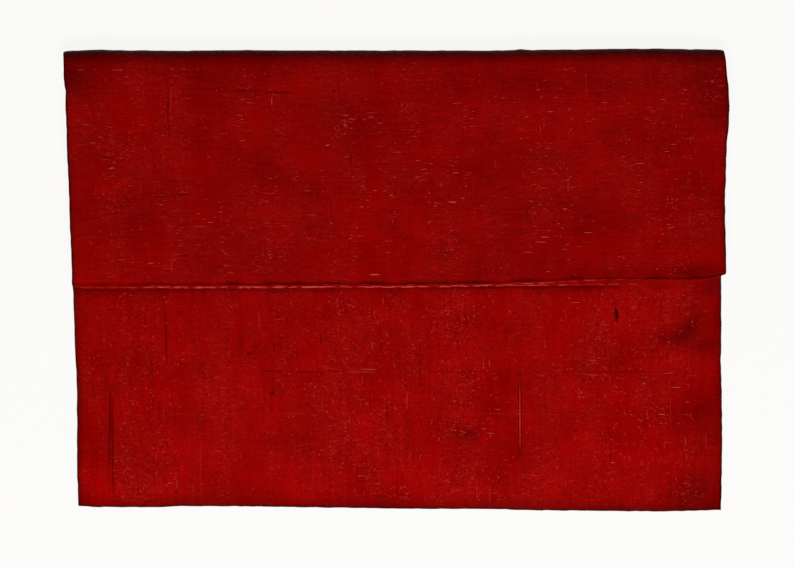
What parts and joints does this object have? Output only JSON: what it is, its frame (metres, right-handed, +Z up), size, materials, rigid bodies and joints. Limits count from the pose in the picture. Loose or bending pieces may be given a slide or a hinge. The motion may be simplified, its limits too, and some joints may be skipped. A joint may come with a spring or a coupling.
{
  "type": "clutch bag",
  "caption": "Flat fold-over clutch bag of slubbed red silk, with a rolled hem, a lined pocket and a hidden magnetic closure under the flap.",
  "frame": {"origin": "on the surface the bag lies on, under the middle of the bag", "axes": "+X along the bag's width, +Y from the foot of the bag to its top fold, +Z up out of the flap"},
  "size_m": [0.2913, 0.2013, 0.0134],
  "materials": {
    "silk": "slubbed silk with a low sheen",
    "lining": "smooth plain-woven lining",
    "nickel": "satin nickel plate",
    "sleeve": "thin milky sheet"
  },
  "bodies": {
    "root": {"outer_shell": "silk", "lining": "lining", "flap_magnet": "nickel", "flap_magnet_sleeve": "sleeve", "front_magnet": "nickel", "front_magnet_sleeve": "sleeve"}
  },
  "joints": []
}
